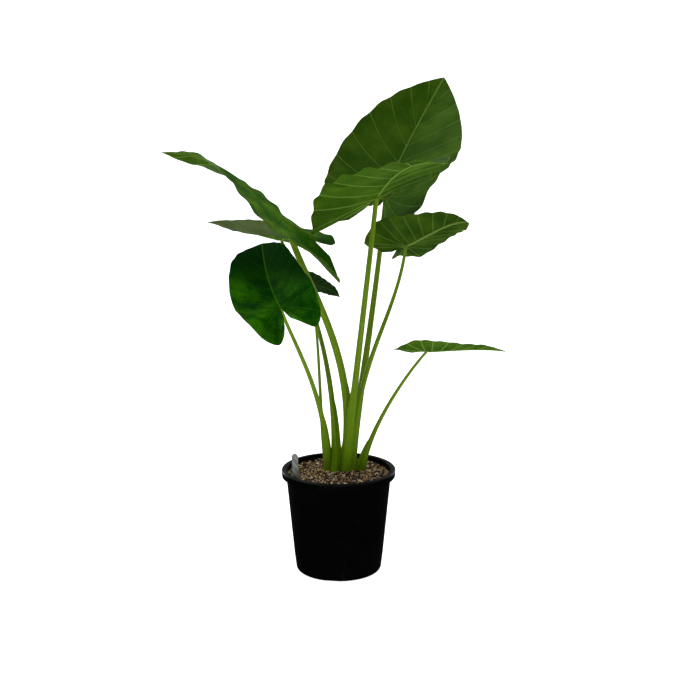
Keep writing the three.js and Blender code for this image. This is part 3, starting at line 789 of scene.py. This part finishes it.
def build_soil_bed(material, segments=120, rings=44):
    floor = POT_FLOOR + SOIL_GAP_BELOW
    foot = outer_wall(0) - FOOT_ROUND - SOIL_GAP_BELOW
    wall = outer_wall(SOIL_LEVEL) - POT_WALL - SOIL_GAP

    def corner(i, j):
        turn = 2 * math.pi * (i % segments) / segments
        if j == 0:
            return Vector((0, 0, floor))
        if j == 1:
            return Vector(round_spot(foot, turn, floor))
        if j == 2:
            return Vector(round_spot(outer_wall(FOOT_ROUND) - POT_WALL - SOIL_GAP, turn, FOOT_ROUND))
        share = (rings - j) / (rings - 3)
        x, y = wall * share * math.cos(turn), wall * share * math.sin(turn)
        grit = SOIL_GRIT * noise.fractal(Vector((90 * x, 90 * y, 0.4)), 1, 2, 4)
        return Vector((x, y, soil_height(x, y) + grit - BED_BELOW_CRUMBS))

    piece, spots = shaped_grid("soil_bed", segments, rings, corner)
    edit(piece, merge_doubles, outward)
    piece.data.materials.append(material)
    smooth(piece, 60)
    settle(piece, "soil")


def crumb_shape(draw, kind):
    """One crumb, 1 unit across: a bark chip or a perlite grain."""
    deselect()
    if kind == "bark":
        bpy.ops.mesh.primitive_cube_add(size=1)
        crumb = bpy.context.object
        edit(crumb, lambda: bpy.ops.mesh.subdivide(number_cuts=1))
        for vertex in crumb.data.vertices:
            vertex.co *= 1 + draw.uniform(-0.28, 0.18)
            vertex.co.x *= 1 + 0.35 * vertex.co.y
    else:
        bpy.ops.mesh.primitive_ico_sphere_add(subdivisions=2, radius=0.5)
        crumb = bpy.context.object
        for vertex in crumb.data.vertices:
            place = 3.1 * vertex.co + Vector((draw.uniform(0, 40), 0, 0))
            vertex.co *= 1 + 0.5 * noise.noise(place)
    mesh = crumb.data
    bpy.data.objects.remove(crumb)
    return mesh


def scatter(name, kind, count, size, flatness, sink, seed, material, keep_off):
    """Crumbs lying on the soil, each with a tone of its own, joined into one piece."""
    draw = random.Random(seed)
    shapes = [crumb_shape(draw, kind) for _ in range(6)]
    bed = bmesh.new()
    tone = bed.verts.layers.float.new("tone")
    reach = outer_wall(SOIL_LEVEL) - POT_WALL - 3 * MM
    placed = 0
    while placed < count:
        radius, turn = reach * math.sqrt(draw.random()), draw.uniform(0, 2 * math.pi)
        x, y = radius * math.cos(turn), radius * math.sin(turn)
        across = draw.uniform(*size) * MM
        if any(math.hypot(x - a, y - b) < r + 0.35 * across for a, b, r in keep_off):
            continue
        tilt = Matrix.Rotation(draw.gauss(0, 0.5), 4, "X") @ Matrix.Rotation(draw.gauss(0, 0.5), 4, "Y")
        spin = Matrix.Rotation(draw.uniform(0, 2 * math.pi), 4, "Z")
        breadth = across * draw.uniform(0.28, 0.8)
        stretch = Matrix.Diagonal((across, breadth, across * draw.uniform(*flatness), 1))
        place = Matrix.Translation((x, y, soil_height(x, y) + across * draw.uniform(*sink)))
        start = len(bed.verts)
        bed.from_mesh(draw.choice(shapes))
        bed.verts.ensure_lookup_table()
        shade = draw.random()
        for vertex in bed.verts[start:]:
            vertex.co = (place @ tilt @ spin @ stretch) @ vertex.co
            vertex[tone] = shade
        placed += 1
    mesh = bpy.data.meshes.new(name)
    bed.to_mesh(mesh)
    bed.free()
    piece = bpy.data.objects.new(name, mesh)
    bpy.context.scene.collection.objects.link(piece)
    piece.data.materials.append(material)
    smooth(piece, 35 if kind == "bark" else 60)
    settle(piece, None)


# Label

def build_label(material):
    """A flat stake with a round head and a pointed foot, leaning on the rim's side."""
    half = LABEL_WIDTH / 2
    outline = [(0, 0), (half, LABEL_POINT)]
    for k in range(21):
        turn = math.radians(9 * k)
        outline.append((half * math.cos(turn), LABEL_LENGTH - half + half * math.sin(turn)))
    outline.append((-half, LABEL_POINT))
    deselect()
    bpy.ops.mesh.primitive_circle_add(vertices=len(outline), radius=half, fill_type="NGON")
    piece = named("label_stake")
    for vertex, (x, z) in zip(piece.data.vertices, outline):
        vertex.co = (x, -LABEL_THICKNESS / 2, z + LABEL_SHOWS - LABEL_LENGTH)
    shell = piece.modifiers.new("thickness", "SOLIDIFY")
    shell.thickness = LABEL_THICKNESS
    shell.offset = 0
    round_edge = piece.modifiers.new("soft edge", "BEVEL")
    round_edge.width = 0.3 * MM
    round_edge.segments = 2
    apply_modifiers(piece)
    centre = sum((vertex.co.y for vertex in piece.data.vertices)) / len(piece.data.vertices)
    turn = Matrix.Rotation(math.radians(LABEL_TURN), 4, "Z")
    lean = turn @ Matrix.Rotation(math.radians(-LABEL_LEAN), 4, "Y")
    place = Matrix.Translation((LABEL_X, LABEL_Y, SOIL_LEVEL))
    piece.data.transform(place @ lean @ Matrix.Translation((0, -centre, 0)))
    edit(piece, outward)
    piece.data.materials.append(material)
    smooth(piece, 40)
    settle(piece, "label")


# Finishes

LEAF_SHINE = (0.5, 1, 0.3, 1)


def fine_veins(paint, clouds, rank, row, width):
    """Thin lines between the ribs."""
    side = paint.maths("PINGPONG", rank, 0.5)
    fine = paint.maths("PINGPONG", row * 17 - side * 7 + clouds * 1.4, 0.5)
    return 1 - paint.between(fine, 0.0, width)


def plant_paint(name, shine, glow, glow_depth):
    """A material for living tissue, with a green shine and some light passing through."""
    return Paint(
        name, Subsurface_Weight=glow, Subsurface_Scale=glow_depth,
        Specular_IOR_Level=shine, Specular_Tint=LEAF_SHINE,
    )


def leaf_upper(name, deep, bright, vein, ribs, gloss, shine, painted_shade_above=None):
    paint = plant_paint(name, shine, 0.1, 0.0015)
    rib_gap, midrib_gap = paint.attribute("rib_gap"), paint.attribute("midrib_gap")
    edge_gap, rank, row = paint.attribute("edge_gap"), paint.attribute("rank"), paint.attribute("row")
    clouds = paint.noise(16, 4, 0.6)
    cells = paint.cells(420)
    blade = paint.mix(paint.between(clouds, 0.35, 0.7), deep, bright)
    # painted shade: above this height the face turns to its deep green, standing in for the shadow of the
    # leaves over it
    if painted_shade_above:
        parts = paint.node("ShaderNodeSeparateXYZ", Vector=paint.place())
        height = parts.output("Z") + clouds * (60 * MM)
        blade = paint.mix(paint.between(height, painted_shade_above, painted_shade_above + 50 * MM), blade, deep)
    fine_line = fine_veins(paint, clouds, rank, row, 0.09)
    rib_line = 1 - paint.between(rib_gap, 0.2, 1.0)
    midrib_line = 1 - paint.between(midrib_gap, 0.8, 1.9)
    edge_line = 1 - paint.between(edge_gap, 0.1, 0.8)
    blade = paint.mix(fine_line * 0.06, blade, vein)
    # painted shade: darker towards each rib, where the pleated upper face dips into a groove along it
    shade = paint.between(rib_gap, 1, 7) * -0.3 + 0.3
    blade = paint.mix(shade, blade, deep)
    blade = paint.mix(rib_line * ribs * (1 - row * 0.6), blade, vein)
    blade = paint.mix(midrib_line * 0.8, blade, vein)
    blade = paint.mix(edge_line * 0.5, blade, vein)
    height = fine_line * -0.08 + cells * 0.2 + rib_line * -0.4 + clouds * 1.2
    return paint.surface(
        Base_Color=blade,
        Roughness=gloss + paint.noise(60, 2) * 0.16,
        Normal=paint.bump(height, 0.0004, 0.7),
    )


def leaf_under(name, deep, bright, vein, ribs):
    paint = plant_paint(name, 0.08, 0.2, 0.002)
    rib_gap, midrib_gap = paint.attribute("rib_gap"), paint.attribute("midrib_gap")
    rank, row = paint.attribute("rank"), paint.attribute("row")
    clouds = paint.noise(14, 4, 0.6)
    blade = paint.mix(paint.between(clouds, 0.35, 0.7), deep, bright)
    fine_line = fine_veins(paint, clouds, rank, row, 0.12)
    rib_line = 1 - paint.between(rib_gap, 0.3, 1.5)
    midrib_line = 1 - paint.between(midrib_gap, 1.2, 3.4)
    blade = paint.mix(fine_line * 0.12, blade, vein)
    blade = paint.mix(rib_line * ribs, blade, vein)
    blade = paint.mix(midrib_line * 0.9, blade, vein)
    height = fine_line * 0.5 + paint.cells(500) * 0.4 + clouds * 0.6
    return paint.surface(
        Base_Color=blade,
        Roughness=0.5 + paint.noise(50, 2) * 0.12,
        Normal=paint.bump(height, 0.0004, 0.7),
    )


def stalk_skin(name, green, pale, dark, foot):
    paint = plant_paint(name, 0.15, 0.1, 0.002)
    round_share, height = paint.attribute("round_share"), paint.attribute("height_share")
    where = paint.node("ShaderNodeCombineXYZ", X=round_share * 60, Y=height * 3)
    streak = paint.noise(1, 3, 0.6, vector=where)
    blotch = paint.noise(26, 4, 0.6, stretch=(1, 1, 0.35))
    skin = paint.mix(paint.between(streak, 0.4, 0.68), green, pale)
    skin = paint.mix(paint.between(blotch, 0.52, 0.72) * 0.5, skin, dark)
    skin = paint.mix((1 - paint.between(height, 0.1, 0.35)) * 0.7, skin, foot)
    return paint.surface(
        Base_Color=skin,
        Roughness=0.36 + streak * 0.14,
        Normal=paint.bump(streak + blotch * 0.5, 0.0004, 0.5),
    )


def pot_plastic():
    paint = Paint("black_pot_plastic", Specular_IOR_Level=0.09)
    grain = paint.noise(900, 3, 0.6)
    scuffs = paint.noise(38, 6, 0.7, stretch=(1, 1, 0.3))
    dust = paint.between(paint.noise(9, 5, 0.65), 0.5, 0.75)
    specks = 1 - paint.between(paint.cells(170), 0.03, 0.09)
    black = paint.mix(dust * 0.4, (0.0006, 0.0006, 0.0006), (0.0025, 0.0024, 0.0022))
    black = paint.mix(paint.between(scuffs, 0.62, 0.72) * 0.3, black, (0.01, 0.0095, 0.009))
    black = paint.mix(specks * dust * 0.5, black, (0.1, 0.09, 0.07))
    return paint.surface(
        Base_Color=black,
        Roughness=0.36 + dust * 0.12 + paint.between(scuffs, 0.6, 0.75) * 0.2,
        Normal=paint.bump(grain + scuffs * 0.6, 0.0002, 0.35),
    )


def soil_mix():
    paint = Paint("potting_soil")
    crumbs = paint.cells(260)
    soft = paint.noise(120, 5, 0.7)
    brown = paint.ramp(
        soft, (0.35, (0.003, 0.0015, 0.0015)), (0.52, (0.03, 0.014, 0.008)), (0.7, (0.2, 0.11, 0.05)),
    )
    return paint.surface(Base_Color=brown, Roughness=0.95, Normal=paint.bump(crumbs + soft, 0.002, 0.9))


def bark_chips():
    paint = Paint("bark_chips")
    tone = paint.attribute("tone")
    grain = paint.noise(420, 4, 0.7, stretch=(1, 1, 3))
    brown = paint.ramp(
        tone, (0, (0.014, 0.002, 0.003)), (0.38, (0.045, 0.013, 0.008)), (0.6, (0.2, 0.1, 0.025)),
        (0.8, (0.62, 0.4, 0.14)), (1, (1, 0.9, 0.64)),
    )
    brown = paint.mix(paint.between(grain, 0.4, 0.7) * 0.45, brown, (0.02, 0.012, 0.008))
    return paint.surface(Base_Color=brown, Roughness=0.88, Normal=paint.bump(grain, 0.0006, 0.8))


def perlite_grains():
    paint = Paint("perlite_grains", Subsurface_Weight=0.1, Subsurface_Scale=0.001)
    tone = paint.attribute("tone")
    pits = paint.cells(1500)
    pale = paint.ramp(tone, (0, (0.5, 0.36, 0.24)), (0.5, (0.75, 0.62, 0.48)), (1, (0.9, 0.85, 0.78)))
    return paint.surface(Base_Color=pale, Roughness=0.85, Normal=paint.bump(pits, 0.0006, 0.7))


def label_plastic():
    paint = Paint("label_plastic", Specular_IOR_Level=0.4)
    parts = paint.node("ShaderNodeSeparateXYZ", Vector=paint.place())
    x, z = parts.output("X"), parts.output("Z")
    band = paint.maths("PINGPONG", x * 60 + z * 55, 0.5)
    tone = paint.mix(paint.between(band, 0.28, 0.32) * 0.5, (0.16, 0.165, 0.16), (0.34, 0.35, 0.33))
    low = 1 - paint.between(z, SOIL_LEVEL + 2 * MM, SOIL_LEVEL + 12 * MM)
    tone = paint.mix(low, tone, (0.12, 0.17, 0.06))
    grime = paint.noise(220, 4, 0.6)
    tone = paint.mix(paint.between(grime, 0.5, 0.75) * 0.4, tone, (0.09, 0.08, 0.06))
    bump = paint.bump(grime, 0.0001, 0.4)
    return paint.surface(Base_Color=tone, Roughness=0.42 + grime * 0.2, Normal=bump)


def corm_skin():
    paint = Paint("corm_skin")
    rings = paint.noise(40, 5, 0.6, stretch=(1, 1, 6))
    brown = paint.ramp(
        rings, (0.3, (0.03, 0.017, 0.010)), (0.6, (0.09, 0.05, 0.028)), (0.8, (0.16, 0.1, 0.06)),
    )
    return paint.surface(Base_Color=brown, Roughness=0.9, Normal=paint.bump(rings, 0.002, 0.8))


# The plant

# each upper face's deep and bright green, vein colour, strength of the rib lines, roughness and shine,
# and, for painted shade from the leaves above, the height above which the face is painted its deep green
UPPER = {
    "a": ((0.008, 0.03, 0.004), (0.026, 0.068, 0.005), (0.06, 0.12, 0.03), 0.55, 0.42, 0.1),
    "b": ((0.03, 0.085, 0.004), (0.05, 0.12, 0.006), (0.13, 0.22, 0.04), 0.6, 0.42, 0.1),
    "c": ((0.016, 0.045, 0.001), (0.04, 0.08, 0.004), (0.15, 0.22, 0.06), 0.6, 0.42, 0.08),
    "d": ((0.014, 0.08, 0.002), (0.085, 0.2, 0.008), (0.12, 0.22, 0.03), 0.35, 0.5, 0.05),
    "e": ((0.055, 0.095, 0.016), (0.1, 0.145, 0.04), (0.16, 0.2, 0.09), 0.35, 0.45, 0.15),
    "f": ((0.002, 0.04, 0.001), (0.035, 0.18, 0.001), (0.06, 0.2, 0.008), 0.35, 0.34, 0.015, 700 * MM),
    "g": ((0.035, 0.07, 0.008), (0.085, 0.13, 0.03), (0.16, 0.22, 0.07), 0.5, 0.42, 0.15),
    "h": ((0.008, 0.035, 0.003), (0.02, 0.07, 0.005), (0.04, 0.1, 0.015), 0.3, 0.38, 0.1),
}
# undersides: deep and bright green, vein colour and strength of the rib lines; the rest are as leaf b's
UNDER = {
    "b": ((0.022, 0.068, 0.001), (0.05, 0.115, 0.004), (0.13, 0.23, 0.03), 0.75),
    "c": ((0.014, 0.045, 0.001), (0.042, 0.09, 0.003), (0.14, 0.21, 0.04), 0.34),
}
# a stalk's green, pale streaks, dark blotches and foot
STALK_COLOURS = ((0.095, 0.175, 0.003), (0.15, 0.24, 0.014), (0.055, 0.13, 0.002), (0.125, 0.25, 0.002))
# the loose soil: kind, number, width in millimetres, flatness, how high each lies, and the seed
CRUMBS = {
    "soil_bark_large": ("bark", 700, (5, 10), (0.2, 0.45), (-0.1, 0.2), 11),
    "soil_bark_small": ("bark", 3400, (1.8, 4.6), (0.3, 0.7), (0.1, 0.7), 12),
    "soil_perlite": ("perlite", 420, (1.6, 4), (0.6, 0.95), (0.3, 0.9), 13),
}

for key, leaf in LEAVES.items():
    piece, group, deepest = build_blade(key, leaf)
    upper = leaf_upper(f"leaf_{key}_upper_face", *UPPER[key])
    under = leaf_under(f"leaf_{key}_underside", *UNDER.get(key, UNDER["b"]))
    finish_blade(key, piece, group, deepest, upper, under)
    build_stalk(key, STALKS[key], leaf, stalk_skin(f"stalk_{key}_skin", *STALK_COLOURS))

build_pot(pot_plastic())
build_soil_bed(soil_mix())
# crumbs stay clear of the stalks and the label: place and radius
keep_off = []
for stalk in STALKS.values():
    foot_x, foot_y = stalk["foot"]
    keep_off.append((foot_x * MM, foot_y * MM, (0.5 * stalk["thick"] + 2) * MM))
keep_off.append((LABEL_X, LABEL_Y, 5 * MM))
crumb_finishes = {"bark": bark_chips(), "perlite": perlite_grains()}
for name, crumbs in CRUMBS.items():
    scatter(name, *crumbs, crumb_finishes[crumbs[0]], keep_off)
build_label(label_plastic())

corm = bpy.data.objects["corm"]
for slot in corm.material_slots:
    slot.material = corm_skin()


# Floor, light and camera

ROOM_LOW = 0.02
ROOM_HIGH = 0.6
WHITE_SEEN = 1.3
FLOOR_SIZE = 400
CAMERA_PLACE = (0.026, -3.0, 1.157)
CAMERA_TILT = 77.9
FOCAL_LENGTH = 70.46


def build_floor():
    deselect()
    bpy.ops.mesh.primitive_plane_add(size=FLOOR_SIZE, location=(0, 0, 0))
    floor = named("studio_floor")
    paint = Paint("pale_floor", Roughness=0.9, Emission_Color=(1, 1, 1, 1), Emission_Strength=0.9)
    cloudy = paint.noise(0.8, 2)
    tone = paint.mix(cloudy, (0.88, 0.88, 0.88), (0.92, 0.92, 0.92))
    floor.data.materials.append(paint.surface(Base_Color=tone))
    floor.visible_glossy = False


def soft_light(name, place, aim, size, power):
    light = bpy.data.lights.new(name, "AREA")
    light.shape = "RECTANGLE"
    light.size, light.size_y = size
    light.energy = power
    lamp = bpy.data.objects.new(name, light)
    lamp.location = place
    lamp.rotation_euler = (Vector(aim) - Vector(place)).to_track_quat("-Z", "Y").to_euler()
    lamp.visible_camera = False
    bpy.context.scene.collection.objects.link(lamp)


def wide_sun(name, turn, rise, power, angle):
    """Even light from one side: turn 0 comes from the front, 90 from the right, and rise from above."""
    light = bpy.data.lights.new(name, "SUN")
    light.energy = power
    light.angle = math.radians(angle)
    lamp = bpy.data.objects.new(name, light)
    lamp.rotation_euler = (math.radians(90 - rise), 0, math.radians(turn))
    bpy.context.scene.collection.objects.link(lamp)


def pale_studio():
    """White where the camera looks at it, and a dim room with a bright ceiling round the plant."""
    world = bpy.data.worlds.new("pale_studio")
    bpy.context.scene.world = world
    world.use_nodes = True
    nodes, links = world.node_tree.nodes, world.node_tree.links
    room = nodes["Background"]
    where = nodes.new("ShaderNodeTexCoord")
    parts = nodes.new("ShaderNodeSeparateXYZ")
    height = nodes.new("ShaderNodeMapRange")
    room.inputs["Color"].default_value = (1, 1, 1, 1)
    ends = (("From Min", -0.1), ("From Max", 0.8), ("To Min", ROOM_LOW), ("To Max", ROOM_HIGH))
    for end, value in ends:
        height.inputs[end].default_value = value
    links.new(where.outputs["Generated"], parts.inputs[0])
    links.new(parts.outputs["Z"], height.inputs["Value"])
    links.new(height.outputs[0], room.inputs["Strength"])
    white = nodes.new("ShaderNodeBackground")
    white.inputs["Color"].default_value = (1, 1, 1, 1)
    white.inputs["Strength"].default_value = WHITE_SEEN
    seen = nodes.new("ShaderNodeLightPath")
    both = nodes.new("ShaderNodeMixShader")
    links.new(seen.outputs["Is Camera Ray"], both.inputs["Fac"])
    links.new(room.outputs[0], both.inputs[1])
    links.new(white.outputs[0], both.inputs[2])
    links.new(both.outputs[0], nodes["World Output"].inputs["Surface"])


build_floor()
wide_sun("top_left_light", -105, 62, 1.05, 60)
wide_sun("front_fill", 15, 40, 0.25, 80)
soft_light("left_edge_light", (-1.15, 1.5, 0.35), (0, 0, 0.15), (0.5, 0.9), 7)
soft_light("right_edge_light", (1.15, 1.5, 0.35), (0, 0, 0.15), (0.4, 0.9), 6)
pale_studio()
bpy.context.scene.view_settings.view_transform = "Standard"

lens = bpy.data.cameras.new("camera")
lens.lens = FOCAL_LENGTH
lens.sensor_width = 36
camera = bpy.data.objects.new("camera", lens)
camera.location = CAMERA_PLACE
camera.rotation_euler = (math.radians(CAMERA_TILT), 0, 0)
bpy.context.scene.collection.objects.link(camera)
bpy.context.scene.camera = camera
